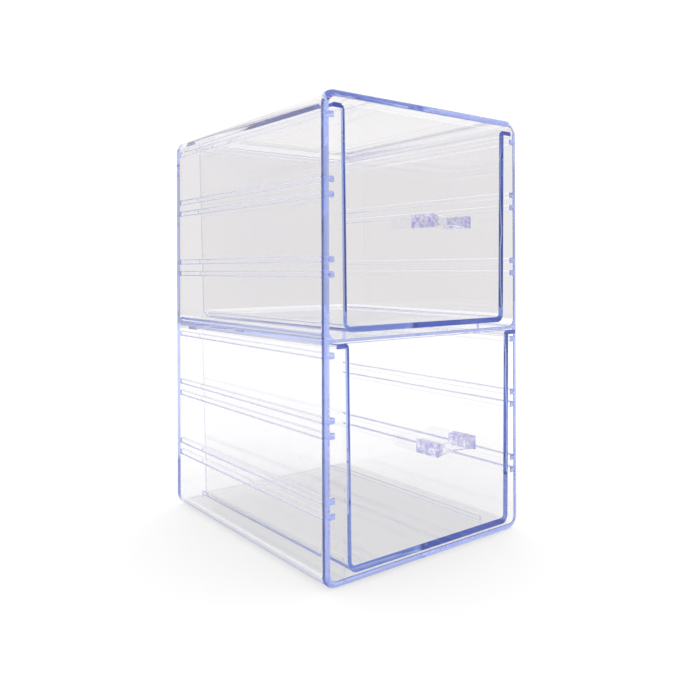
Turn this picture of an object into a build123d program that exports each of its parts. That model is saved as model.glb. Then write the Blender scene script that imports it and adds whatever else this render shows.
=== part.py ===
from build123d import *
import os

# Clear organizer with two drawers that slide out of one moulded casing.
# Millimetres, +Z up. The origin is the centre of the casing's base, and the open front faces -Y.

# Casing shell. It narrows and drops a little from front to back, as a moulding does.
CASE_WIDTH = 120.0
CASE_DEPTH = 141.3
CASE_HEIGHT = 203.6
CASE_CORNER = 6.8
SIDE_DRAFT = 1.0
TOP_DRAFT = 1.5
RIM_RISE = 1.15
RIM_DEPTH = 2.8
RIM_ROUNDING = 1.9
SIDE_WALL = 3.1
BACK_WALL = 3.3
BASE_TRIM = 0.1

# The two bays, one above the other
FLOOR_THICKNESS = 3.2
BAY_PITCH = 98.2
DIVIDER_THICKNESS = 1.3
CEILING_THICKNESS = 3.2
CEILING_DRAFT = 0.2
BAY_LOW_CORNER = 3.5
BAY_TOP_CORNER = 3.5
DIVIDER_CORNER = 1.0

# Two low runners on each bay's floor carry the drawer.
RUNNER_HEIGHT = 2.1
RUNNER_WIDTH = 1.6
RUNNER_SPACING = 84.0
RUNNER_SETBACK = 10.0
RUNNER_ROOT = 0.5

# Guide ribs along the side walls. A slot is the space between two ribs, and the
# topmost slot of a bay is closed by the bay's ceiling instead of a second rib.
SLOTS_PER_BAY = 3
FIRST_SLOT_HEIGHT = 29.6
SLOT_PITCH = 32.6
RIB_SPACING = 6.2
RIB_THICKNESS = 2.7
RIB_REACH = 2.6
RIB_ROOT = 1.0

# Drawer tray
DRAWER_HEIGHT = 94.2
DRAWER_TOP_WIDTH = 100.2
DRAWER_BASE_WIDTH = 98.3
DRAWER_LENGTH = 130.0
DRAWER_BACK_DRAFT = 2.4
DRAWER_WALL = 2.0
DRAWER_BASE = 2.4
DRAWER_FRONT = 2.4
DRAWER_LOW_CORNER = 4.0
DRAWER_BACK_CORNER = 5.0
LIP_REACH = 5.3
LIP_THICKNESS = 2.0
LIP_EDGE = 0.9
LIP_CORNER = 4.0
LIP_BEND = 2.4
DRAWER_CLEARANCE = 0.3
LOWER_DRAWER_OUT = 2.5

# Bow-shaped handle
HANDLE_WIDTH = 24.0
HANDLE_END_HEIGHT = 6.0
HANDLE_WAIST_HEIGHT = 3.6
HANDLE_REACH = 13.0
HANDLE_POST = 4.0
HANDLE_BAR = 3.2
HANDLE_FRONT_CORNER = 1.2
HANDLE_GAP_CORNER = 2.2

# Places that follow from the sizes above
FRONT_Y = -CASE_DEPTH / 2
BACK_Y = CASE_DEPTH / 2
RIM_BACK_Y = FRONT_Y + RIM_DEPTH
SHELL_TOP = CASE_HEIGHT - RIM_RISE
BAY_BACK_Y = BACK_Y - BACK_WALL
LOWER_BAY_FLOOR = FLOOR_THICKNESS
UPPER_BAY_FLOOR = FLOOR_THICKNESS + BAY_PITCH
LOWER_BAY_CEILING = UPPER_BAY_FLOOR - DIVIDER_THICKNESS
UPPER_BAY_CEILING = CASE_HEIGHT - CEILING_THICKNESS
CUT_OVERRUN = 1.0


def upright_plane(y):
    """A plane that faces the front at depth y: its X is the part's X and its Y is the part's Z."""
    return Plane(origin=(0, y, 0), x_dir=(1, 0, 0), z_dir=(0, -1, 0))


def side_lean(y):
    """How far the casing's side wall has come inward at depth y, behind the rim."""
    return SIDE_DRAFT * (y - RIM_BACK_Y) / (BACK_Y - RIM_BACK_Y)


def shell_outline(y, top):
    """Outer outline of the casing at depth y. It reaches a little below the base, where it is trimmed."""
    width = CASE_WIDTH - 2 * side_lean(y)
    outline = RectangleRounded(width, top + BASE_TRIM, CASE_CORNER)
    return upright_plane(y) * Pos(0, (top - BASE_TRIM) / 2) * outline


def make_shell():
    """The casing's outer block behind the rim, trimmed to a flat base."""
    front = shell_outline(RIM_BACK_Y, SHELL_TOP)
    back = shell_outline(BACK_Y, SHELL_TOP - TOP_DRAFT)
    below = Pos(0, 0, -CASE_HEIGHT / 2) * Box(2 * CASE_WIDTH, 2 * CASE_DEPTH, CASE_HEIGHT)
    return loft([front, back], ruled=True) - below


def bay_outline(y, floor, ceiling, high_corner):
    """Outline of a bay at depth y, with its own corner radius at the ceiling."""
    width = CASE_WIDTH - 2 * (side_lean(y) + SIDE_WALL)
    outline = upright_plane(y) * Pos(0, (floor + ceiling) / 2) * Rectangle(width, ceiling - floor)
    outline = fillet(outline.vertices().group_by(Axis.Z)[0], BAY_LOW_CORNER)
    return fillet(outline.vertices().group_by(Axis.Z)[-1], high_corner)


def make_bay(floor, front_ceiling, back_ceiling, high_corner):
    """The hollow of one bay, open at the casing's front."""
    front = bay_outline(FRONT_Y, floor, front_ceiling, high_corner)
    back = bay_outline(BAY_BACK_Y, floor, back_ceiling, high_corner)
    return loft([front, back], ruled=True)


def make_rim():
    """The front band, which stands proud of the shell at the top and is rounded towards the front."""
    outline = Pos(0, CASE_HEIGHT / 2) * RectangleRounded(CASE_WIDTH, CASE_HEIGHT, CASE_CORNER)
    band = extrude(upright_plane(FRONT_Y) * outline, -RIM_DEPTH)
    return fillet(band.edges().group_by(Axis.Y)[0], RIM_ROUNDING)


def rib_outline(y, height):
    """Section of the right-hand rib at depth y, with its root inside the wall."""
    wall_x = CASE_WIDTH / 2 - SIDE_WALL - side_lean(y)
    centre_x = wall_x + (RIB_ROOT - RIB_REACH) / 2
    return upright_plane(y) * Pos(centre_x, height) * Rectangle(RIB_REACH + RIB_ROOT, RIB_THICKNESS)


def rib_heights(bay_floor):
    """Centre heights of the ribs of one bay, from the lowest up."""
    heights = []
    for slot in range(SLOTS_PER_BAY):
        slot_height = bay_floor + FIRST_SLOT_HEIGHT + slot * SLOT_PITCH
        heights.append(slot_height - RIB_SPACING / 2)
        if slot < SLOTS_PER_BAY - 1:
            heights.append(slot_height + RIB_SPACING / 2)
    return heights


def make_ribs():
    """All the guide ribs of both bays, on both side walls."""
    ribs = []
    for bay_floor in (LOWER_BAY_FLOOR, UPPER_BAY_FLOOR):
        for height in rib_heights(bay_floor):
            front = rib_outline(FRONT_Y, height)
            back = rib_outline(BAY_BACK_Y + RIB_ROOT, height)
            right_rib = loft([front, back], ruled=True)
            ribs.append(right_rib)
            ribs.append(mirror(right_rib, about=Plane.YZ))
    return ribs


def make_runners():
    """The low runners on the floor of both bays."""
    length = BAY_BACK_Y + RUNNER_ROOT - FRONT_Y - RUNNER_SETBACK
    height = RUNNER_HEIGHT + RUNNER_ROOT
    middle_y = FRONT_Y + RUNNER_SETBACK + length / 2
    runners = []
    for bay_floor in (LOWER_BAY_FLOOR, UPPER_BAY_FLOOR):
        middle_z = bay_floor + (RUNNER_HEIGHT - RUNNER_ROOT) / 2
        for x in (-RUNNER_SPACING / 2, RUNNER_SPACING / 2):
            runners.append(Pos(x, middle_y, middle_z) * Box(RUNNER_WIDTH, length, height))
    return runners


def make_casing():
    """The casing: one moulding with two bays, a thin divider, a front rim, ribs and runners."""
    body = make_shell() + make_rim()
    body -= make_bay(LOWER_BAY_FLOOR, LOWER_BAY_CEILING, LOWER_BAY_CEILING, DIVIDER_CORNER)
    body -= make_bay(UPPER_BAY_FLOOR, UPPER_BAY_CEILING, UPPER_BAY_CEILING - CEILING_DRAFT, BAY_TOP_CORNER)
    for strip in make_ribs() + make_runners():
        body += strip
    return body


def tray_outline(z, wall, front_inset):
    """Outline of the tray at height z, drawn in by a wall's thickness and by the front inset."""
    width = DRAWER_BASE_WIDTH + (DRAWER_TOP_WIDTH - DRAWER_BASE_WIDTH) * z / DRAWER_HEIGHT
    back = DRAWER_LENGTH - DRAWER_BACK_DRAFT * (1 - z / DRAWER_HEIGHT) - wall
    outline = Pos(0, (front_inset + back) / 2, z) * Rectangle(width - 2 * wall, back - front_inset)
    return fillet(outline.vertices().group_by(Axis.Y)[-1], DRAWER_BACK_CORNER - wall)


def tray_block(bottom, top, wall, front_inset):
    """A block that follows the tray's outer faces, drawn in by a wall's thickness.

    It is measured from the tray's front bottom centre: X across, Y towards the back, Z up.
    """
    outlines = [tray_outline(z, wall, front_inset) for z in (bottom, top)]
    block = loft(outlines, ruled=True)
    side_and_back_edges = block.edges().group_by(Axis.Z)[0].sort_by(Axis.Y)[1:]
    return fillet(side_and_back_edges, DRAWER_LOW_CORNER - wall)


def make_lip_plate():
    """The flat lip around the tray's top, still without its opening."""
    length = DRAWER_LENGTH + LIP_REACH
    width = DRAWER_TOP_WIDTH + 2 * LIP_REACH
    plan = Pos(0, length / 2, DRAWER_HEIGHT - LIP_THICKNESS) * Rectangle(width, length)
    plan = fillet(plan.vertices().group_by(Axis.Y)[-1], LIP_CORNER)
    plate = extrude(plan, LIP_THICKNESS)
    return fillet(plate.edges().group_by(Axis.Z)[-1], LIP_EDGE)


def make_hollow():
    """The inside of the tray. At its top it flares out over the lip, so the walls bend over smoothly."""
    block = tray_block(DRAWER_BASE, DRAWER_HEIGHT, DRAWER_WALL, DRAWER_FRONT)
    flare = LIP_BEND + CUT_OVERRUN
    width = DRAWER_TOP_WIDTH - 2 * DRAWER_WALL + 2 * flare
    length = DRAWER_LENGTH - DRAWER_WALL - DRAWER_FRONT + flare
    cover = Pos(0, DRAWER_FRONT + length / 2, DRAWER_HEIGHT) * Rectangle(width, length)
    hollow = block + extrude(cover, CUT_OVERRUN)
    bends = []
    for edge in hollow.edges().filter_by_position(Axis.Z, DRAWER_HEIGHT, DRAWER_HEIGHT):
        middle = edge @ 0.5
        over_side_wall = abs(middle.X) < width / 2 - CUT_OVERRUN
        over_back_wall = middle.Y < DRAWER_FRONT + length - CUT_OVERRUN
        behind_front = middle.Y > DRAWER_FRONT + CUT_OVERRUN
        if over_side_wall and over_back_wall and behind_front:
            bends.append(edge)
    return fillet(bends, LIP_BEND)


def make_drawer():
    """One tray, measured from its front bottom centre."""
    walls = tray_block(0, DRAWER_HEIGHT - LIP_THICKNESS / 2, 0, 0)
    return walls + make_lip_plate() - make_hollow()


def make_handle():
    """The pull, measured from the centre of its bonded back: two posts and a waisted bar."""
    half_width = HANDLE_WIDTH / 2
    half_end = HANDLE_END_HEIGHT / 2
    half_waist = HANDLE_WAIST_HEIGHT / 2
    top_arc = ThreePointArc((-half_width, half_end), (0, half_waist), (half_width, half_end))
    right_side = Line((half_width, half_end), (half_width, -half_end))
    bottom_arc = ThreePointArc((half_width, -half_end), (0, -half_waist), (-half_width, -half_end))
    left_side = Line((-half_width, -half_end), (-half_width, half_end))
    bow = extrude(upright_plane(0) * make_face([top_arc, right_side, bottom_arc, left_side]), HANDLE_REACH)

    bridge = Pos(0, -HANDLE_REACH / 2) * Rectangle(HANDLE_WIDTH, HANDLE_REACH)
    bridge = fillet(bridge.vertices().group_by(Axis.Y)[0], HANDLE_FRONT_CORNER)
    gap_depth = HANDLE_REACH - HANDLE_BAR
    gap = Pos(0, -gap_depth / 2) * Rectangle(HANDLE_WIDTH - 2 * HANDLE_POST, gap_depth)
    gap = fillet(gap.vertices().group_by(Axis.Y)[0], HANDLE_GAP_CORNER)
    plan = Pos(0, 0, -half_end) * (bridge - gap)
    return bow & extrude(plan, HANDLE_END_HEIGHT)


def save(shape, name):
    """Write one piece as a STEP file under its own name."""
    shape.label = name
    export_step(shape, os.path.join("parts", name + ".step"))


def main():
    os.makedirs("parts", exist_ok=True)
    save(make_casing(), "casing")
    drawer = make_drawer()
    handle = make_handle()
    lift = RUNNER_HEIGHT + DRAWER_CLEARANCE
    places = {
        "upper": (FRONT_Y, UPPER_BAY_FLOOR + lift),
        "lower": (FRONT_Y - LOWER_DRAWER_OUT, LOWER_BAY_FLOOR + lift),
    }
    for name, (front, bottom) in places.items():
        save(Pos(0, front, bottom) * drawer, name + "_drawer")
        save(Pos(0, front, bottom + DRAWER_HEIGHT / 2) * handle, name + "_handle")


main()
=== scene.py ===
import math

import bpy
from bpy.props import FloatProperty, FloatVectorProperty, PointerProperty
from mathutils import Matrix, Vector


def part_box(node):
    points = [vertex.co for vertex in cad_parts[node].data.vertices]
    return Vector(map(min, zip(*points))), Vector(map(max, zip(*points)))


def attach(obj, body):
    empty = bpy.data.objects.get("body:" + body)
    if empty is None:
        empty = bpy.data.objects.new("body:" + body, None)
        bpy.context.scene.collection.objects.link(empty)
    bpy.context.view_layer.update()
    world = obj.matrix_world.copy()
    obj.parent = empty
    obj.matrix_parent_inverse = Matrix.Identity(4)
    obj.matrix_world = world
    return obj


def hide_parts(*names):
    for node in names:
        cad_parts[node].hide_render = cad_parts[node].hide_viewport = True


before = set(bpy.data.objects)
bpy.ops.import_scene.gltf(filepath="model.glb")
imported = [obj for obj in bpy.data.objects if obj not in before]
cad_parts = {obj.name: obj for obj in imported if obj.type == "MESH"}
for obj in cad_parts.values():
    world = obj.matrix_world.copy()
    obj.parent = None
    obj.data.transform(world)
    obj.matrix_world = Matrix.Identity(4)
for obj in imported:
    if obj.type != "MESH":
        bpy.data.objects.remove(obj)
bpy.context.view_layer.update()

bl_info = {
    "name": "Clear drawer organizer",
    "version": (1, 0, 0),
    "blender": (4, 5, 0),
    "location": "3D View > Sidebar > Organizer",
    "description": "Models a clear moulded organizer with two drawers around its packed frame",
    "category": "Object",
}

MM = 0.001

# The frame's own boxes give every outer size and place.
CASE_LOW, CASE_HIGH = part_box("casing")
UPPER_LOW, UPPER_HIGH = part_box("upper_drawer")
LOWER_LOW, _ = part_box("lower_drawer")
PULL_LOW, PULL_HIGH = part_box("upper_handle")
FRONT_Y = CASE_LOW.y

# A cutting block reaches this far past what it cuts.
OVERRUN = 1.0 * MM
# Places this near to a plane count as in it, vertices this near are merged, and heights this near are equal.
NEAR = 0.05 * MM
MERGE = 0.001 * MM
EXACT = 0.0001 * MM
# A strip's or a bay's edge that is longer than this is one of its straight edges.
LONG_EDGE = 10 * MM
BAY_EDGE = 20 * MM
# The casing's front edges this near to its outline are the outer ones.
OUTLINE_BAND = 2.2 * MM
# The back end of a tray starts this far behind its front.
TRAY_BACK = 10 * MM

CORNER_STEPS = 10
FILLET_STEPS = 6
EDGE_STEPS = 3
STRIP_STEPS = 4
LIP_STEPS = 4
WAIST_STEPS = 12
SHARP = math.radians(35)
SMOOTH = math.radians(40)
MAX_BOUNCES = 96


class CasingSizes(bpy.types.PropertyGroup):
    """Sizes of the casing's walls, bays and ribs."""

    corner: FloatProperty(name="Corner", description="Radius of the four long edges", default=6.8 * MM, unit="LENGTH")
    rim_rise: FloatProperty(
        name="Rim rise", description="Height of the front rim above the top", default=1.15 * MM, unit="LENGTH"
    )
    rim_depth: FloatProperty(name="Rim depth", description="Depth of the front rim", default=2.8 * MM, unit="LENGTH")
    side_draft: FloatProperty(
        name="Side draft", description="How far each side leans in towards the back", default=1.0 * MM, unit="LENGTH"
    )
    top_draft: FloatProperty(
        name="Top draft", description="How far the top falls towards the back", default=1.5 * MM, unit="LENGTH"
    )
    side_wall: FloatProperty(name="Side wall", description="Side wall thickness", default=3.1 * MM, unit="LENGTH")
    back_wall: FloatProperty(name="Back wall", description="Back wall thickness", default=3.3 * MM, unit="LENGTH")
    floor: FloatProperty(name="Floor", description="Floor thickness", default=3.2 * MM, unit="LENGTH")
    divider: FloatProperty(name="Divider", description="Divider thickness", default=1.3 * MM, unit="LENGTH")
    ceiling: FloatProperty(name="Ceiling", description="Top thickness at the rim", default=3.2 * MM, unit="LENGTH")
    ceiling_draft: FloatProperty(
        name="Ceiling draft", description="How far the upper bay's ceiling falls", default=0.2 * MM, unit="LENGTH"
    )
    bay_pitch: FloatProperty(
        name="Bay pitch", description="Floor to floor of the bays", default=98.2 * MM, unit="LENGTH"
    )
    bay_low_corner: FloatProperty(
        name="Bay floor corner", description="Radius beside a bay's floor", default=3.5 * MM, unit="LENGTH"
    )
    bay_top_corner: FloatProperty(
        name="Bay top corner", description="Radius beside the upper bay's ceiling", default=3.5 * MM, unit="LENGTH"
    )
    divider_corner: FloatProperty(
        name="Divider corner", description="Radius beside the divider's underside", default=1.0 * MM, unit="LENGTH"
    )
    first_slot: FloatProperty(
        name="First slot", description="Height of a bay's lowest slot", default=29.6 * MM, unit="LENGTH"
    )
    slot_pitch: FloatProperty(name="Slot pitch", description="Slot to slot", default=32.6 * MM, unit="LENGTH")
    rib_spacing: FloatProperty(
        name="Rib spacing", description="Centre to centre of a pair of ribs", default=6.2 * MM, unit="LENGTH"
    )
    rib_thickness: FloatProperty(
        name="Rib thickness", description="Height of a rib", default=2.7 * MM, unit="LENGTH"
    )
    rib_reach: FloatProperty(
        name="Rib reach", description="How far a rib stands out", default=2.6 * MM, unit="LENGTH"
    )
    rib_round: FloatProperty(
        name="Rib rounding", description="Radius of a rib's edges", default=0.6 * MM, unit="LENGTH"
    )
    front_round: FloatProperty(
        name="Front rounding", description="Radius of the outer front edge", default=1.9 * MM, unit="LENGTH"
    )
    bay_round: FloatProperty(
        name="Bay rounding", description="Radius of the bays' front edges", default=0.45 * MM, unit="LENGTH"
    )
    back_round: FloatProperty(
        name="Back rounding", description="Radius of the outer back edge", default=2.0 * MM, unit="LENGTH"
    )
    bay_back_round: FloatProperty(
        name="Bay back rounding", description="Radius at the back of a bay", default=1.2 * MM, unit="LENGTH"
    )
    runner_height: FloatProperty(
        name="Runner height", description="Height of a runner", default=2.1 * MM, unit="LENGTH"
    )
    runner_width: FloatProperty(
        name="Runner width", description="Width of a runner", default=1.6 * MM, unit="LENGTH"
    )
    runner_spacing: FloatProperty(
        name="Runner spacing", description="Centre to centre of a bay's two runners", default=84 * MM, unit="LENGTH"
    )
    runner_setback: FloatProperty(
        name="Runner setback", description="Where the runners start behind the front", default=10 * MM, unit="LENGTH"
    )
    runner_round: FloatProperty(
        name="Runner rounding", description="Radius of a runner's edges", default=0.4 * MM, unit="LENGTH"
    )


class DrawerSizes(bpy.types.PropertyGroup):
    """Sizes of one drawer tray."""

    base_width: FloatProperty(name="Base width", description="Width at the bottom", default=98.3 * MM, unit="LENGTH")
    back_draft: FloatProperty(
        name="Back draft", description="How far the back leans out towards the top", default=2.4 * MM, unit="LENGTH"
    )
    wall: FloatProperty(name="Wall", description="Side and back wall thickness", default=2.0 * MM, unit="LENGTH")
    base: FloatProperty(name="Base", description="Bottom thickness", default=2.4 * MM, unit="LENGTH")
    front: FloatProperty(name="Front", description="Front plate thickness", default=2.4 * MM, unit="LENGTH")
    low_corner: FloatProperty(
        name="Bottom corner", description="Radius of the bottom edges", default=4.0 * MM, unit="LENGTH"
    )
    back_corner: FloatProperty(
        name="Back corner", description="Radius of the upright back edges", default=5.0 * MM, unit="LENGTH"
    )
    lip_reach: FloatProperty(
        name="Lip reach", description="How far the lip stands out", default=5.3 * MM, unit="LENGTH"
    )
    lip_thickness: FloatProperty(
        name="Lip thickness", description="Thickness of the lip", default=2.0 * MM, unit="LENGTH"
    )
    lip_edge: FloatProperty(name="Lip edge", description="Radius of the lip's edge", default=0.9 * MM, unit="LENGTH")
    lip_bend: FloatProperty(
        name="Lip bend", description="Radius where a wall bends into the lip", default=2.4 * MM, unit="LENGTH"
    )
    edge_round: FloatProperty(
        name="Edge rounding", description="Radius of the remaining edges", default=0.4 * MM, unit="LENGTH"
    )


class PullSizes(bpy.types.PropertyGroup):
    """Sizes of one bow-shaped pull."""

    waist_height: FloatProperty(name="Waist", description="Height at the middle", default=3.6 * MM, unit="LENGTH")
    post: FloatProperty(name="Post", description="Width of each post", default=4.0 * MM, unit="LENGTH")
    bar: FloatProperty(name="Bar", description="Thickness of the bar", default=3.2 * MM, unit="LENGTH")
    gap_corner: FloatProperty(
        name="Gap corner", description="Radius inside the finger gap", default=2.2 * MM, unit="LENGTH"
    )
    edge_round: FloatProperty(
        name="Edge rounding", description="Radius of the edges", default=0.4 * MM, unit="LENGTH"
    )
    bond: FloatProperty(
        name="Bond", description="Gap between a pull and its drawer's front", default=0.02 * MM, unit="LENGTH"
    )


class Finish(bpy.types.PropertyGroup):
    """Colour and surface of the clear plastic."""

    casing_tint: FloatVectorProperty(
        name="Casing tint", description="Colour that light takes on inside the casing", size=3, subtype="COLOR",
        default=(0.05, 0.25, 0.91), min=0, max=1,
    )
    casing_depth: FloatProperty(
        name="Casing depth", description="How fast the casing's tint builds up, per metre", default=5.0, min=0
    )
    drawer_tint: FloatVectorProperty(
        name="Drawer tint", description="Colour that light takes on inside a drawer", size=3, subtype="COLOR",
        default=(0.05, 0.27, 0.8), min=0, max=1,
    )
    drawer_depth: FloatProperty(
        name="Drawer depth", description="How fast the drawers' tint builds up, per metre", default=8.0, min=0
    )
    haze: FloatProperty(name="Haze", description="Most roughness of the casing and drawers", default=0.02, min=0)
    pull_haze: FloatProperty(name="Pull haze", description="Most roughness of the pulls", default=0.03, min=0)
    casing_wave: FloatProperty(
        name="Casing wave", description="Height of the waves in the casing's faces", default=0.04 * MM, unit="LENGTH"
    )
    drawer_wave: FloatProperty(
        name="Drawer wave", description="Height of the waves in the drawers' faces", default=0.07 * MM, unit="LENGTH"
    )
    pull_wave: FloatProperty(
        name="Pull wave", description="Height of the waves in the pulls' faces", default=0.02 * MM, unit="LENGTH"
    )
    mottle_from: FloatProperty(
        name="Mottle start", description="Distance from a pull's middle at which its posts' mottling starts",
        default=7.6 * MM, unit="LENGTH",
    )
    mottle_fade: FloatProperty(
        name="Mottle fade", description="Length over which the mottling comes in", default=0.6 * MM, unit="LENGTH"
    )
    mottle_on_bar: FloatProperty(name="Mottle on bar", description="Share of the mottling on the bar", default=0.15)
    mottle_height: FloatProperty(
        name="Mottle height", description="Depth of the pits, in heights of the pull's waves", default=6.0
    )
    mottle_scale: FloatProperty(name="Mottle scale", description="Pits per metre", default=620.0)
    mottle_cast: FloatVectorProperty(
        name="Mottle cast", description="Colour of the bond behind the posts", size=3, subtype="COLOR",
        default=(0.42, 0.38, 0.8), min=0, max=1,
    )


class Studio(bpy.types.PropertyGroup):
    """Camera and light."""

    camera_place: FloatVectorProperty(
        name="Camera place", description="Where the camera stands", size=3, subtype="TRANSLATION",
        default=(-0.23009, -0.30594, 0.13038),
    )
    heading: FloatProperty(
        name="Heading", description="Camera heading, from straight at the front", default=math.radians(37.96),
        subtype="ANGLE",
    )
    lens: FloatProperty(name="Lens", description="Focal length in millimetres", default=37.22)
    tilt: FloatProperty(
        name="Tilt", description="Turn about the line of sight", default=math.radians(0.182), subtype="ANGLE"
    )
    camera_drop: FloatProperty(
        name="Frame drop", description="How far the frame is shifted, in frame widths", default=-0.1166
    )
    brightness: FloatProperty(name="Brightness", description="Strength of the white surroundings", default=0.87)
    overhead: FloatProperty(
        name="Overhead", description="How much brighter the surroundings are straight overhead", default=1.6
    )
    backdrop: FloatProperty(name="Backdrop", description="Strength of the white that the camera sees", default=1.1)
    floor_size: FloatProperty(name="Floor size", description="Side of the table top", default=2.4, unit="LENGTH")
    floor_glow: FloatProperty(name="Floor glow", description="Light that the table top gives off", default=0.61)


# ---------------------------------------------------------------- modelling by hand


def work_on(piece):
    """Leaves edit mode and makes one piece the only selected one."""
    if bpy.context.mode != "OBJECT":
        bpy.ops.object.mode_set(mode="OBJECT")
    bpy.ops.object.select_all(action="DESELECT")
    piece.select_set(True)
    bpy.context.view_layer.objects.active = piece


def pick_vertices(piece, wanted):
    """Enters edit mode with the vertices that wanted(place) accepts selected."""
    work_on(piece)
    bpy.ops.object.mode_set(mode="EDIT")
    bpy.ops.mesh.select_mode(type="VERT")
    bpy.ops.mesh.select_all(action="DESELECT")
    bpy.ops.object.mode_set(mode="OBJECT")
    for vertex in piece.data.vertices:
        vertex.select = bool(wanted(vertex.co))
    bpy.ops.object.mode_set(mode="EDIT")


def pick_vertices_by_index(piece, wanted):
    """Enters edit mode with the vertices of these indices selected."""
    work_on(piece)
    for element in (*piece.data.vertices, *piece.data.edges, *piece.data.polygons):
        element.select = False
    for index in wanted:
        piece.data.vertices[index].select = True
    bpy.ops.object.mode_set(mode="EDIT")
    bpy.ops.mesh.select_mode(type="VERT")


def pick_sharp_edges(piece, wanted):
    """Enters edit mode with the sharp edges whose two ends wanted(a, b) accepts selected."""
    work_on(piece)
    bpy.ops.object.mode_set(mode="EDIT")
    bpy.ops.mesh.select_mode(type="EDGE")
    bpy.ops.mesh.select_all(action="DESELECT")
    bpy.ops.mesh.edges_select_sharp(sharpness=SHARP)
    bpy.ops.object.mode_set(mode="OBJECT")
    mesh = piece.data
    places = [vertex.co for vertex in mesh.vertices]
    kept = [e for e in mesh.edges if e.select and wanted(places[e.vertices[0]], places[e.vertices[1]])]
    for element in (*mesh.vertices, *mesh.edges, *mesh.polygons):
        element.select = False
    for edge in kept:
        edge.select = True
        for index in edge.vertices:
            mesh.vertices[index].select = True
    bpy.ops.object.mode_set(mode="EDIT")
    return len(kept)


def round_edges(piece, radius, segments, wanted):
    """Rounds the sharp edges that wanted(a, b) accepts."""
    found = pick_sharp_edges(piece, wanted)
    if not found:
        raise RuntimeError(f"{piece.name} has no edge to round there")
    bpy.ops.mesh.bevel(offset=radius, segments=segments, profile=0.5, affect="EDGES", clamp_overlap=True)
    work_on(piece)


def flat_outline(name, place, size, turn, corners):
    """Starts a block: a flat outline whose corners are rounded, with its face selected in edit mode.

    corners holds pairs of a test on a corner's place and the radius that it gets.
    """
    bpy.ops.object.select_all(action="DESELECT")
    bpy.ops.mesh.primitive_plane_add(size=1, location=place, rotation=turn)
    piece = bpy.context.object
    piece.name = name
    piece.scale = (size[0], size[1], 1)
    bpy.ops.object.transform_apply(location=True, rotation=True, scale=True)
    for wanted, radius in corners:
        pick_vertices(piece, wanted)
        bpy.ops.mesh.bevel(offset=radius, segments=CORNER_STEPS, profile=0.5, affect="VERTICES")
    work_on(piece)
    bpy.ops.object.mode_set(mode="EDIT")
    bpy.ops.mesh.select_mode(type="FACE")
    bpy.ops.mesh.select_all(action="SELECT")
    return piece


def extrude_cap(move, widen=(1, 1, 1), about=(0, 0, 0)):
    """Extrudes the selected cap by move, then scales it about a point."""
    bpy.ops.mesh.extrude_region_move(TRANSFORM_OT_translate={"value": move})
    bpy.ops.transform.resize(value=widen, center_override=about)


def close_block(piece):
    """Merges doubles, drops faces without area and turns all faces outwards."""
    work_on(piece)
    bpy.ops.object.mode_set(mode="EDIT")
    bpy.ops.mesh.select_all(action="SELECT")
    bpy.ops.mesh.remove_doubles(threshold=MERGE)
    bpy.ops.mesh.dissolve_degenerate(threshold=MERGE)
    bpy.ops.mesh.select_all(action="SELECT")
    bpy.ops.mesh.normals_make_consistent(inside=False)
    work_on(piece)
    return piece


def carve(piece, tool, operation):
    """Cuts or adds another block, and removes that block."""
    work_on(piece)
    cut = piece.modifiers.new("Carve", "BOOLEAN")
    cut.operation = operation
    cut.solver = "EXACT"
    cut.object = tool
    bpy.ops.object.modifier_apply(modifier=cut.name)
    bpy.data.objects.remove(tool)


def join(pieces):
    """Joins pieces into the first one."""
    work_on(pieces[0])
    for piece in pieces:
        piece.select_set(True)
    bpy.ops.object.join()
    return bpy.context.object


def copy_piece(piece, name, move):
    """A copy with its own mesh, moved in its mesh."""
    twin = piece.copy()
    twin.data = piece.data.copy()
    twin.name = name
    twin.data.name = name
    twin.data.transform(Matrix.Translation(move))
    bpy.context.scene.collection.objects.link(twin)
    return twin


def polish(piece, name):
    """Names the finished mesh and shades it smooth over its rounded edges, flat on its flat faces."""
    piece.name = name
    piece.data.name = name
    close_block(piece)
    bpy.ops.object.shade_smooth_by_angle(angle=SMOOTH)
    even = piece.modifiers.new("Even shading", "WEIGHTED_NORMAL")
    even.keep_sharp = True
    bpy.ops.object.modifier_apply(modifier=even.name)
    return piece


# ---------------------------------------------------------------- casing


def side_lean(sizes, y):
    """How far the casing's side has come in at depth y, behind the rim."""
    rim_back = FRONT_Y + sizes.rim_depth
    return sizes.side_draft * (y - rim_back) / (CASE_HIGH.y - rim_back)


def make_shell(sizes):
    """The casing's outer block: a front rim, and behind it the body, which narrows towards the back."""
    width = CASE_HIGH.x - CASE_LOW.x
    height = CASE_HIGH.z
    upright = (math.pi / 2, 0, 0)
    corners = [(lambda place: True, sizes.corner)]
    shell = flat_outline("shell", (0, FRONT_Y, height / 2), (width, height), upright, corners)
    extrude_cap((0, sizes.rim_depth, 0))
    # The second cap starts in the plane of the first, and its top goes down by the rim's height.
    extrude_cap((0, 0, 0))
    bpy.ops.object.mode_set(mode="OBJECT")
    cap = {vertex.index for vertex in shell.data.vertices if vertex.select}
    top_starts = height - sizes.corner - NEAR
    pick_vertices_by_index(shell, {i for i in cap if shell.data.vertices[i].co.z > top_starts})
    bpy.ops.transform.translate(value=(0, 0, -sizes.rim_rise))
    pick_vertices_by_index(shell, cap)
    body_height = height - sizes.rim_rise
    narrower = (width - 2 * sizes.side_draft) / width
    lower = (body_height - sizes.top_draft) / body_height
    depth = CASE_HIGH.y - CASE_LOW.y - sizes.rim_depth
    extrude_cap((0, depth, 0), (narrower, 1, lower))
    return close_block(shell)


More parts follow.
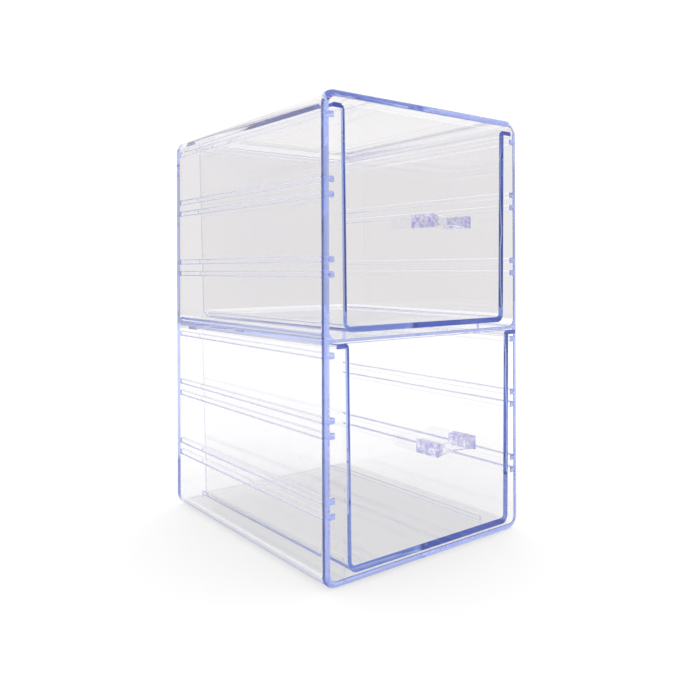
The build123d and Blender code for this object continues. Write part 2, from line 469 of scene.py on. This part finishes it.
def make_bay(sizes, low, high, fall, high_corner):
    """The hollow of one bay as a block, from just before the casing's front to the back wall."""
    start = FRONT_Y - OVERRUN
    end = CASE_HIGH.y - sizes.back_wall
    width = CASE_HIGH.x - CASE_LOW.x - 2 * sizes.side_wall - 2 * side_lean(sizes, start)
    end_width = CASE_HIGH.x - CASE_LOW.x - 2 * sizes.side_wall - 2 * side_lean(sizes, end)
    middle = (low + high) / 2
    corners = [
        (lambda place: place.z < middle, sizes.bay_low_corner),
        (lambda place: place.z > middle, high_corner),
    ]
    bay = flat_outline("bay", (0, start, middle), (width, high - low), (math.pi / 2, 0, 0), corners)
    extrude_cap((0, end - start, 0), (end_width / width, 1, (high - low - fall) / (high - low)), (0, 0, low))
    return close_block(bay)


def make_strip_pair(low, high, lean, radius):
    """A right-hand strip between two corners and its mirror image, with its long free edges rounded.

    lean moves its far end inward, so that it follows a leaning wall. A strip that leans stands out from a side
    wall, and one that doesn't stands on a floor.
    """
    bpy.ops.object.select_all(action="DESELECT")
    bpy.ops.mesh.primitive_cube_add(size=1, location=(low + high) / 2, scale=high - low)
    strip = bpy.context.object
    bpy.ops.object.transform_apply(location=True, rotation=True, scale=True)

    def is_free(place):
        return abs(place.x - low.x) < NEAR if lean else abs(place.z - high.z) < NEAR

    round_edges(strip, radius, STRIP_STEPS, lambda a, b: is_free(a) and is_free(b) and abs(a.y - b.y) > LONG_EDGE)
    if lean:
        pick_vertices(strip, lambda place: place.y > 0)
        bpy.ops.transform.translate(value=(-lean, 0, 0))
        work_on(strip)
    mirror = strip.modifiers.new("Other side", "MIRROR")
    mirror.use_axis = (True, False, False)
    bpy.ops.object.modifier_apply(modifier=mirror.name)
    return close_block(strip)


def make_rib_pair(sizes):
    """A left and a right rib at height 0, with their roots inside the walls."""
    start = FRONT_Y - 2 * OVERRUN
    end = CASE_HIGH.y - sizes.back_wall + OVERRUN
    wall_x = CASE_HIGH.x - sizes.side_wall - side_lean(sizes, start)
    half = sizes.rib_thickness / 2
    low = Vector((wall_x - sizes.rib_reach, start, -half))
    high = Vector((wall_x + OVERRUN, end, half))
    return make_strip_pair(low, high, side_lean(sizes, end) - side_lean(sizes, start), sizes.rib_round)


def make_runner_pair(sizes):
    """The two runners of a bay whose floor is at height 0."""
    end = CASE_HIGH.y - sizes.back_wall + OVERRUN
    x = sizes.runner_spacing / 2
    low = Vector((x - sizes.runner_width / 2, FRONT_Y + sizes.runner_setback, -OVERRUN))
    high = Vector((x + sizes.runner_width / 2, end, sizes.runner_height))
    return make_strip_pair(low, high, 0, sizes.runner_round)


def rib_heights(sizes, bay_floor):
    """Centre heights of one bay's ribs: a pair at each slot, but only the lower one at the topmost slot."""
    heights = []
    for slot in range(3):
        middle = bay_floor + sizes.first_slot + slot * sizes.slot_pitch
        heights.append(middle - sizes.rib_spacing / 2)
        if slot < 2:
            heights.append(middle + sizes.rib_spacing / 2)
    return heights


def make_casing(sizes):
    """The casing: shell, less its two bays, with the guide ribs left standing in them."""
    shell = make_shell(sizes)
    upper_floor = sizes.floor + sizes.bay_pitch
    lower_bay = make_bay(sizes, sizes.floor, upper_floor - sizes.divider, 0, sizes.divider_corner)
    upper_bay = make_bay(sizes, upper_floor, CASE_HIGH.z - sizes.ceiling, sizes.ceiling_draft, sizes.bay_top_corner)
    ribs = make_rib_pair(sizes)
    runners = make_runner_pair(sizes)
    heights = rib_heights(sizes, sizes.floor) + rib_heights(sizes, upper_floor)
    strips = [copy_piece(ribs, "rib", (0, 0, height)) for height in heights]
    strips += [copy_piece(runners, "runner", (0, 0, height)) for height in (sizes.floor, upper_floor)]
    for first in (ribs, runners):
        bpy.data.objects.remove(first)
    bays = join([lower_bay, upper_bay])
    carve(bays, join(strips), "DIFFERENCE")
    carve(shell, bays, "DIFFERENCE")
    close_block(shell)

    def both_at(y, a, b):
        return abs(a.y - y) < NEAR and abs(b.y - y) < NEAR

    def on_outline(place):
        side = CASE_HIGH.x - abs(place.x)
        return min(side, place.z, CASE_HIGH.z - place.z) < OUTLINE_BAND

    def is_straight_bay_edge(a, b):
        upright_or_level = min(abs(abs(a.x) - abs(b.x)), abs(a.z - b.z)) < EXACT
        return upright_or_level and (a - b).length > BAY_EDGE

    bay_back_y = CASE_HIGH.y - sizes.back_wall
    round_edges(
        shell, sizes.front_round, FILLET_STEPS,
        lambda a, b: both_at(FRONT_Y, a, b) and on_outline(a) and on_outline(b),
    )
    round_edges(
        shell, sizes.bay_round, EDGE_STEPS,
        lambda a, b: both_at(FRONT_Y, a, b) and not (on_outline(a) and on_outline(b)),
    )
    round_edges(shell, sizes.back_round, FILLET_STEPS, lambda a, b: both_at(CASE_HIGH.y, a, b))
    round_edges(
        shell, sizes.bay_back_round, EDGE_STEPS,
        lambda a, b: both_at(bay_back_y, a, b) and is_straight_bay_edge(a, b),
    )
    return polish(shell, "casing_shell")


# ---------------------------------------------------------------- drawers


def quarter(steps):
    """Angles of the steps of a quarter turn, after its start."""
    return [math.pi / 2 * step / steps for step in range(1, steps + 1)]


def extrude_stations(front, start, stations):
    """Extrudes the selected cap from start through the stations, while its front stays in place.

    start and each station hold the cap's half width, back depth and height.
    """
    now_half, now_back, now_z = start
    for next_half, next_back, next_z in stations:
        widen = (next_half / now_half, (next_back - front) / (now_back - front), 1)
        extrude_cap((0, 0, next_z - now_z), widen, (0, front, 0))
        now_half, now_back, now_z = next_half, next_back, next_z


def make_tray_block(name, front, low, high, base, top, low_corner, back_corner):
    """A block whose bottom edges are rounded on three sides and whose front stays upright.

    base and top are pairs of half width and back depth. The block is left in edit mode with its top cap selected.
    """
    half, back = base
    start_half, start_back = half - low_corner, back - low_corner
    corners = [(lambda place: place.y > front + TRAY_BACK, back_corner)]
    block = flat_outline(
        name, (0, (front + start_back) / 2, low), (2 * start_half, start_back - front), (0, 0, 0), corners
    )
    stations = []
    for angle in quarter(FILLET_STEPS):
        out = low_corner * math.sin(angle)
        stations.append((start_half + out, start_back + out, low + low_corner * (1 - math.cos(angle))))
    stations.append((*top, high))
    extrude_stations(front, (start_half, start_back, low), stations)
    return block


def make_drawer(sizes):
    """The upper tray: outer block and lip, less its hollow."""
    low, high = UPPER_LOW.z, UPPER_HIGH.z
    front = UPPER_LOW.y
    top_half = UPPER_HIGH.x - sizes.lip_reach
    top_back = UPPER_HIGH.y - sizes.lip_reach
    base_half = sizes.base_width / 2
    base_back = top_back - sizes.back_draft
    outer = make_tray_block(
        "tray", front, low, high - sizes.lip_thickness / 2, (base_half, base_back), (top_half, top_back),
        sizes.low_corner, sizes.back_corner,
    )
    close_block(outer)

    lip_low = high - sizes.lip_thickness
    corners = [(lambda place: place.y > front + TRAY_BACK, sizes.back_corner)]
    lip = flat_outline(
        "lip", (0, (front + UPPER_HIGH.y) / 2, lip_low), (2 * UPPER_HIGH.x, UPPER_HIGH.y - front), (0, 0, 0), corners
    )
    extrude_cap((0, 0, sizes.lip_thickness - sizes.lip_edge))
    edge_low = high - sizes.lip_edge
    stations = []
    for angle in quarter(LIP_STEPS):
        inward = sizes.lip_edge * (1 - math.cos(angle))
        stations.append((UPPER_HIGH.x - inward, UPPER_HIGH.y - inward, edge_low + sizes.lip_edge * math.sin(angle)))
    extrude_stations(front, (UPPER_HIGH.x, UPPER_HIGH.y, edge_low), stations)
    close_block(lip)
    carve(outer, lip, "UNION")

    hollow_front = front + sizes.front
    inner_half = top_half - sizes.wall
    inner_back = top_back - sizes.wall
    bend = sizes.lip_bend
    bend_low = high - bend
    hollow = make_tray_block(
        "hollow", hollow_front, low + sizes.base, bend_low,
        (base_half - sizes.wall, base_back - sizes.wall), (inner_half, inner_back),
        sizes.low_corner - sizes.wall, sizes.back_corner - sizes.wall,
    )
    stations = []
    for angle in quarter(FILLET_STEPS):
        outward = bend * (1 - math.cos(angle))
        stations.append((inner_half + outward, inner_back + outward, bend_low + bend * math.sin(angle)))
    stations.append((inner_half + bend, inner_back + bend, high + OVERRUN))
    extrude_stations(hollow_front, (inner_half, inner_back, bend_low), stations)
    close_block(hollow)
    carve(outer, hollow, "DIFFERENCE")
    close_block(outer)
    round_edges(outer, sizes.edge_round, EDGE_STEPS, lambda a, b: max(a.y, b.y) < hollow_front + NEAR)
    return polish(outer, "upper_tray")


# ---------------------------------------------------------------- pulls


def make_pull(sizes):
    """The upper pull: a waisted bar on two posts, with a finger gap behind it."""
    low, high = PULL_LOW, PULL_HIGH - Vector((0, sizes.bond, 0))
    middle = (low + high) / 2
    end_height = high.z - low.z
    half_width = high.x
    turned = (0, -math.pi / 2, 0)
    bar = flat_outline("pull", (low.x, middle.y, middle.z), (end_height, high.y - low.y), turned, [])
    now_height, now_x = end_height, low.x
    for step in range(1, WAIST_STEPS + 1):
        x = low.x + (high.x - low.x) * step / WAIST_STEPS
        height = sizes.waist_height + (end_height - sizes.waist_height) * (x / half_width) ** 2
        extrude_cap((x - now_x, 0, 0), (1, 1, height / now_height), (0, 0, middle.z))
        now_height, now_x = height, x
    close_block(bar)
    gap_back = low.y + sizes.bar
    gap_front = high.y + OVERRUN
    gap_width = 2 * (half_width - sizes.post)
    gap = flat_outline(
        "gap", (0, (gap_back + gap_front) / 2, low.z - OVERRUN), (gap_width, gap_front - gap_back), (0, 0, 0),
        [(lambda place: place.y < (gap_back + gap_front) / 2, sizes.gap_corner)],
    )
    extrude_cap((0, 0, end_height + 2 * OVERRUN))
    close_block(gap)
    carve(bar, gap, "DIFFERENCE")
    close_block(bar)
    round_edges(
        bar, sizes.edge_round, EDGE_STEPS,
        lambda a, b: max(a.y, b.y) < high.y - NEAR or abs(a.y - b.y) > sizes.edge_round / 2,
    )
    return polish(bar, "upper_pull")


# ---------------------------------------------------------------- materials

STYRENE_IOR = 1.58
FLOW_SCALE = 28.0
CLEAREST = (0.995, 0.99, 0.98, 1)
DULLEST = (0.985, 0.98, 0.975, 1)
# The noise between these two values makes the pits' slopes.
PIT_LOW = 0.38
PIT_HIGH = 0.62


def clear_plastic(name, tint, depth, haze, waviness, mottle=None):
    """Clear moulded plastic: a faint wave in its surface, a little haze, and a tint that builds up with depth.

    mottle, where given, holds the finish whose pits and cast its posts get.
    """
    material = bpy.data.materials.new(name)
    material.use_nodes = True
    nodes = material.node_tree.nodes
    links = material.node_tree.links
    surface = nodes["Principled BSDF"]
    surface.inputs["Transmission Weight"].default_value = 1.0
    surface.inputs["IOR"].default_value = STYRENE_IOR
    surface.inputs["Specular IOR Level"].default_value = 0.5
    place = nodes.new("ShaderNodeTexCoord")

    flow = nodes.new("ShaderNodeTexNoise")
    flow.inputs["Scale"].default_value = FLOW_SCALE
    flow.inputs["Detail"].default_value = 2.0
    links.new(place.outputs["Object"], flow.inputs["Vector"])

    colour = nodes.new("ShaderNodeMix")
    colour.data_type = "RGBA"
    colour.inputs["A"].default_value = CLEAREST
    colour.inputs["B"].default_value = DULLEST
    links.new(flow.outputs["Fac"], colour.inputs["Factor"])
    links.new(colour.outputs["Result"], surface.inputs["Base Color"])

    rough = nodes.new("ShaderNodeMapRange")
    rough.inputs["To Min"].default_value = 0.0
    rough.inputs["To Max"].default_value = haze
    links.new(flow.outputs["Fac"], rough.inputs["Value"])
    links.new(rough.outputs["Result"], surface.inputs["Roughness"])

    bump = nodes.new("ShaderNodeBump")
    bump.inputs["Strength"].default_value = 1.0
    bump.inputs["Distance"].default_value = waviness
    links.new(flow.outputs["Fac"], bump.inputs["Height"])
    links.new(bump.outputs["Normal"], surface.inputs["Normal"])

    if mottle:
        mottle_posts(material, place, flow, colour, bump, mottle)

    volume = nodes.new("ShaderNodeVolumeAbsorption")
    volume.inputs["Color"].default_value = (*tint, 1)
    volume.inputs["Density"].default_value = depth
    links.new(volume.outputs["Volume"], nodes["Material Output"].inputs["Volume"])
    return material


def mottle_posts(material, place, flow, colour, bump, finish):
    """Mottles a pull's posts, and its bar faintly: small pits, and a lavender cast from the bond behind them."""
    nodes = material.node_tree.nodes
    links = material.node_tree.links
    axes = nodes.new("ShaderNodeSeparateXYZ")
    links.new(place.outputs["Object"], axes.inputs["Vector"])
    outward = nodes.new("ShaderNodeMath")
    outward.operation = "ABSOLUTE"
    links.new(axes.outputs["X"], outward.inputs[0])
    mask = nodes.new("ShaderNodeMapRange")
    mask.inputs["From Min"].default_value = finish.mottle_from
    mask.inputs["From Max"].default_value = finish.mottle_from + finish.mottle_fade
    mask.inputs["To Min"].default_value = finish.mottle_on_bar
    links.new(outward.outputs["Value"], mask.inputs["Value"])
    pits = nodes.new("ShaderNodeTexNoise")
    pits.inputs["Scale"].default_value = finish.mottle_scale
    pits.inputs["Detail"].default_value = 2.0
    links.new(place.outputs["Object"], pits.inputs["Vector"])
    crisp = nodes.new("ShaderNodeMapRange")
    crisp.inputs["From Min"].default_value = PIT_LOW
    crisp.inputs["From Max"].default_value = PIT_HIGH
    links.new(pits.outputs["Fac"], crisp.inputs["Value"])
    depth = nodes.new("ShaderNodeMath")
    depth.operation = "MULTIPLY"
    links.new(crisp.outputs["Result"], depth.inputs[0])
    links.new(mask.outputs["Result"], depth.inputs[1])
    height = nodes.new("ShaderNodeMath")
    height.operation = "MULTIPLY_ADD"
    height.inputs[1].default_value = finish.mottle_height
    links.new(depth.outputs["Value"], height.inputs[0])
    links.new(flow.outputs["Fac"], height.inputs[2])
    links.new(height.outputs["Value"], bump.inputs["Height"])
    cast = nodes.new("ShaderNodeMix")
    cast.data_type = "RGBA"
    cast.inputs["B"].default_value = (*finish.mottle_cast, 1)
    links.new(colour.outputs["Result"], cast.inputs["A"])
    links.new(depth.outputs["Value"], cast.inputs["Factor"])
    links.new(cast.outputs["Result"], nodes["Principled BSDF"].inputs["Base Color"])


# ---------------------------------------------------------------- stage

FLOOR_DROP = 0.2 * MM
FLOOR_GREY = (0.5, 0.5, 0.5, 1)
NEAR_SIDE = (0.6, 0.6, 0.61, 1)
FAR_SIDE = (1, 0.98, 0.98, 1)
# Where the tent's colour leaves its near side and reaches its far side: 0 is behind the camera and 1 is ahead.
NEAR_END = 0.08
FAR_START = 0.62
# The sine of the height in the sky at which the brighter part overhead begins.
OVERHEAD_FROM = 0.35


def make_floor(studio):
    """A pale table top, lit from below as well, so that it stays white under the clear walls."""
    bpy.ops.object.select_all(action="DESELECT")
    bpy.ops.mesh.primitive_plane_add(size=studio.floor_size, location=(0, 0, -FLOOR_DROP))
    floor = bpy.context.object
    floor.name = "floor"
    bpy.ops.object.transform_apply(location=True, rotation=True, scale=True)
    material = bpy.data.materials.new("pale_floor")
    material.use_nodes = True
    surface = material.node_tree.nodes["Principled BSDF"]
    surface.inputs["Base Color"].default_value = FLOOR_GREY
    surface.inputs["Roughness"].default_value = 0.9
    surface.inputs["Emission Color"].default_value = (1, 1, 1, 1)
    surface.inputs["Emission Strength"].default_value = studio.floor_glow
    floor.data.materials.append(material)


def make_light(studio):
    """A soft tent around the object, dimmer on the camera's side, in front of a white background."""
    world = bpy.data.worlds.new("soft_tent")
    world.use_nodes = True
    nodes = world.node_tree.nodes
    links = world.node_tree.links
    tent = nodes["Background"]
    place = nodes.new("ShaderNodeTexCoord")
    towards = nodes.new("ShaderNodeVectorMath")
    towards.operation = "DOT_PRODUCT"
    away = Vector((math.sin(studio.heading), math.cos(studio.heading), 0.0))
    towards.inputs[1].default_value = away
    links.new(place.outputs["Generated"], towards.inputs[0])
    ramp = nodes.new("ShaderNodeValToRGB")
    ramp.color_ramp.elements[0].position = NEAR_END
    ramp.color_ramp.elements[0].color = NEAR_SIDE
    ramp.color_ramp.elements[1].position = FAR_START
    ramp.color_ramp.elements[1].color = FAR_SIDE
    span = nodes.new("ShaderNodeMapRange")
    span.inputs["From Min"].default_value = -1
    links.new(towards.outputs["Value"], span.inputs["Value"])
    links.new(span.outputs["Result"], ramp.inputs["Fac"])
    links.new(ramp.outputs["Color"], tent.inputs["Color"])
    axes = nodes.new("ShaderNodeSeparateXYZ")
    links.new(place.outputs["Generated"], axes.inputs["Vector"])
    overhead = nodes.new("ShaderNodeMapRange")
    overhead.inputs["From Min"].default_value = OVERHEAD_FROM
    overhead.inputs["To Min"].default_value = studio.brightness
    overhead.inputs["To Max"].default_value = studio.overhead * studio.brightness
    links.new(axes.outputs["Z"], overhead.inputs["Value"])
    links.new(overhead.outputs["Result"], tent.inputs["Strength"])
    white = nodes.new("ShaderNodeBackground")
    white.inputs["Color"].default_value = (1, 1, 1, 1)
    white.inputs["Strength"].default_value = studio.backdrop
    seen = nodes.new("ShaderNodeLightPath")
    either = nodes.new("ShaderNodeMixShader")
    links.new(seen.outputs["Is Camera Ray"], either.inputs["Fac"])
    links.new(tent.outputs["Background"], either.inputs[1])
    links.new(white.outputs["Background"], either.inputs[2])
    links.new(either.outputs["Shader"], nodes["World Output"].inputs["Surface"])
    bpy.context.scene.world = world


def make_camera(studio):
    """The camera, level, at the photograph's place."""
    data = bpy.data.cameras.new("camera")
    data.lens = studio.lens
    data.sensor_width = 36
    data.shift_y = studio.camera_drop
    data.clip_start = 0.01
    data.clip_end = 50
    camera = bpy.data.objects.new("camera", data)
    camera.location = studio.camera_place
    camera.rotation_euler = (math.pi / 2, studio.tilt, -studio.heading)
    bpy.context.scene.collection.objects.link(camera)
    bpy.context.scene.camera = camera


def set_colour_and_bounces():
    """Plain colour, and enough bounces for light that runs along inside a wall."""
    scene = bpy.context.scene
    scene.view_settings.view_transform = "Standard"
    scene.cycles.max_bounces = MAX_BOUNCES
    scene.cycles.transmission_bounces = MAX_BOUNCES
    scene.cycles.glossy_bounces = MAX_BOUNCES
    scene.cycles.diffuse_bounces = 3
    scene.cycles.transparent_max_bounces = MAX_BOUNCES


# ---------------------------------------------------------------- operators


class ORGANIZER_OT_casing(bpy.types.Operator):
    """Model the casing"""

    bl_idname = "organizer.casing"
    bl_label = "Casing"

    def execute(self, context):
        finish = context.scene.organizer_finish
        casing = make_casing(context.scene.organizer_casing)
        plastic = clear_plastic(
            "clear_casing", finish.casing_tint, finish.casing_depth, finish.haze, finish.casing_wave
        )
        casing.data.materials.append(plastic)
        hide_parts("casing")
        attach(casing, "casing")
        return {"FINISHED"}


class ORGANIZER_OT_drawers(bpy.types.Operator):
    """Model one tray and copy it for the lower bay"""

    bl_idname = "organizer.drawers"
    bl_label = "Drawers"

    def execute(self, context):
        finish = context.scene.organizer_finish
        upper = make_drawer(context.scene.organizer_drawer)
        plastic = clear_plastic(
            "clear_drawer", finish.drawer_tint, finish.drawer_depth, finish.haze, finish.drawer_wave
        )
        upper.data.materials.append(plastic)
        lower = copy_piece(upper, "lower_tray", LOWER_LOW - UPPER_LOW)
        for tray, body in ((upper, "upper_drawer"), (lower, "lower_drawer")):
            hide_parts(body)
            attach(tray, body)
        return {"FINISHED"}


class ORGANIZER_OT_pulls(bpy.types.Operator):
    """Model one pull and copy it for the lower drawer"""

    bl_idname = "organizer.pulls"
    bl_label = "Pulls"

    def execute(self, context):
        finish = context.scene.organizer_finish
        upper = make_pull(context.scene.organizer_pull)
        plastic = clear_plastic(
            "clear_pull", finish.drawer_tint, finish.drawer_depth, finish.pull_haze, finish.pull_wave, finish
        )
        upper.data.materials.append(plastic)
        lower = copy_piece(upper, "lower_pull", LOWER_LOW - UPPER_LOW)
        for pull, body, node in ((upper, "upper_drawer", "upper_handle"), (lower, "lower_drawer", "lower_handle")):
            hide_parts(node)
            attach(pull, body)
        return {"FINISHED"}


class ORGANIZER_OT_stage(bpy.types.Operator):
    """Set up the floor, the light and the camera"""

    bl_idname = "organizer.stage"
    bl_label = "Stage"

    def execute(self, context):
        studio = context.scene.organizer_studio
        make_floor(studio)
        make_light(studio)
        make_camera(studio)
        set_colour_and_bounces()
        return {"FINISHED"}


class ORGANIZER_PT_panel(bpy.types.Panel):
    """Sidebar panel that lists the organizer's operators and sizes"""

    bl_idname = "ORGANIZER_PT_panel"
    bl_label = "Organizer"
    bl_space_type = "VIEW_3D"
    bl_region_type = "UI"
    bl_category = "Organizer"

    def draw(self, context):
        for operator in OPERATORS:
            self.layout.operator(operator.bl_idname)
        for name in SETTINGS:
            box = self.layout.box()
            group = getattr(context.scene, name)
            for field in group.bl_rna.properties:
                if field.identifier in group.__annotations__:
                    box.prop(group, field.identifier)


OPERATORS = (ORGANIZER_OT_casing, ORGANIZER_OT_drawers, ORGANIZER_OT_pulls, ORGANIZER_OT_stage)
SETTINGS = {
    "organizer_casing": CasingSizes,
    "organizer_drawer": DrawerSizes,
    "organizer_pull": PullSizes,
    "organizer_finish": Finish,
    "organizer_studio": Studio,
}
CLASSES = (*SETTINGS.values(), *OPERATORS, ORGANIZER_PT_panel)


def register():
    for cls in CLASSES:
        bpy.utils.register_class(cls)
    for name, group in SETTINGS.items():
        setattr(bpy.types.Scene, name, PointerProperty(type=group))


def unregister():
    for name in SETTINGS:
        delattr(bpy.types.Scene, name)
    for cls in reversed(CLASSES):
        bpy.utils.unregister_class(cls)


def main():
    register()
    for operator in OPERATORS:
        group, name = operator.bl_idname.split(".")
        getattr(getattr(bpy.ops, group), name)()


if __name__ == "__main__":
    main()
